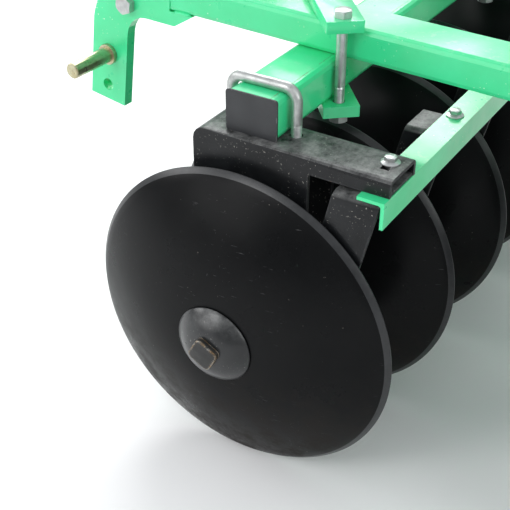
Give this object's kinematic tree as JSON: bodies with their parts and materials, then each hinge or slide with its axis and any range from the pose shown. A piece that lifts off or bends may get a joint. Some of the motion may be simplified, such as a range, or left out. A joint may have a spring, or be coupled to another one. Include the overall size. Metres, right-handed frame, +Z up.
{
  "type": "disc harrow",
  "caption": "Mounted offset disc harrow: two gangs of dished discs clamped under a two-rail frame, with scrapers and a three-point hitch.",
  "frame": {"origin": "on the ground under the middle of the whole machine's box", "axes": "+Z up, -Y the direction of travel, +X to the machine's left"},
  "size_m": [1.3416, 1.5794, 1.0025],
  "materials": {
    "green_paint": "satin",
    "black_paint": "satin, chipped",
    "disc_steel": "dark satin, scuffed",
    "zinc": "zinc plated",
    "yellow_zinc": "yellow zinc plated",
    "cap_plastic": "matt"
  },
  "bodies": {
    "frame": {"front_beam": "green_paint", "front_cross_tube": "green_paint", "front_inner_bearing": "black_paint", "front_inner_bracket": "black_paint", "front_inner_cap": "cap_plastic", "front_inner_ubolt": "zinc", "front_left_clamp_lower": "green_paint", "front_left_clamp_upper": "green_paint", "front_outer_bearing": "black_paint", "front_outer_bracket": "black_paint", "front_outer_cap": "cap_plastic", "front_outer_ubolt": "zinc", "front_right_clamp_lower": "green_paint", "front_right_clamp_upper": "green_paint", "front_scraper_bar": "green_paint", "left_hitch_plate": "green_paint", "left_link_pin": "yellow_zinc", "left_mast_leg": "green_paint", "left_rail": "green_paint", "left_rail_cap": "cap_plastic", "mast_brace": "green_paint", "mast_head": "green_paint", "middle_cross_tube": "green_paint", "rear_beam": "green_paint", "rear_cross_tube": "green_paint", "rear_inner_bearing": "black_paint", "rear_inner_bracket": "black_paint", "rear_inner_cap": "cap_plastic", "rear_inner_ubolt": "zinc", "rear_left_clamp_lower": "green_paint", "rear_left_clamp_upper": "green_paint", "rear_outer_bearing": "black_paint", "rear_outer_bracket": "black_paint", "rear_outer_cap": "cap_plastic", "rear_outer_ubolt": "zinc", "rear_right_clamp_lower": "green_paint", "rear_right_clamp_upper": "green_paint", "rear_scraper_bar": "green_paint", "right_hitch_plate": "green_paint", "right_link_pin": "yellow_zinc", "right_mast_leg": "green_paint", "right_rail": "green_paint", "right_rail_cap": "cap_plastic"},
    "front_gang": {"front_axle": "black_paint", "front_disc_1": "disc_steel", "front_disc_2": "disc_steel", "front_disc_3": "disc_steel", "front_disc_4": "disc_steel", "front_disc_5": "disc_steel", "front_disc_6": "disc_steel"},
    "rear_gang": {"rear_axle": "black_paint", "rear_disc_1": "disc_steel", "rear_disc_2": "disc_steel", "rear_disc_3": "disc_steel", "rear_disc_4": "disc_steel", "rear_disc_5": "disc_steel", "rear_disc_6": "disc_steel"}
  },
  "joints": [
    {"name": "front_gang_roll", "type": "hinge", "parent": "frame", "child": "front_gang", "pos_m": [0, -0.34572, 0.255], "axis": [0.9984, 0.0558, 0], "continuous": true},
    {"name": "rear_gang_roll", "type": "hinge", "parent": "frame", "child": "rear_gang", "pos_m": [0, 0.50428, 0.255], "axis": [0.9984, -0.0558, 0], "continuous": true}
  ]
}
